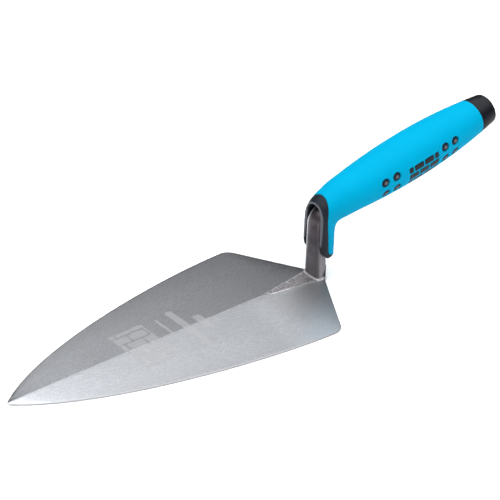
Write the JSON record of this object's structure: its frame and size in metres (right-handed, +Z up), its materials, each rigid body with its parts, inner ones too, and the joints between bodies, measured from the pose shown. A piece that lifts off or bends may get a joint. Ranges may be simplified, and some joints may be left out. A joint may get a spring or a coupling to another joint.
{
  "type": "brick trowel",
  "caption": "Philadelphia-pattern brick trowel: wide pointed forged steel blade, upright shank, and a sloping two-material handle with a guard in front of the fingers.",
  "frame": {"origin": "on the blade's flat underside, below the middle of the shank", "axes": "-X points to the blade's tip and +X back along the handle, +Y across the blade, +Z up, away from the blade's underside"},
  "size_m": [0.4048, 0.1176, 0.0955],
  "materials": {
    "forged_steel": "ground faces on the blade, rough bolster, dark scale on the shank",
    "core_plastic": "hard black plastic, fine matt texture",
    "grip_rubber": "satin blue soft grip",
    "cap_plastic": "satin black plastic"
  },
  "bodies": {
    "root": {"trowel_forging": "forged_steel", "handle_core": "core_plastic", "soft_grip": "grip_rubber", "end_cap": "cap_plastic"}
  },
  "joints": []
}
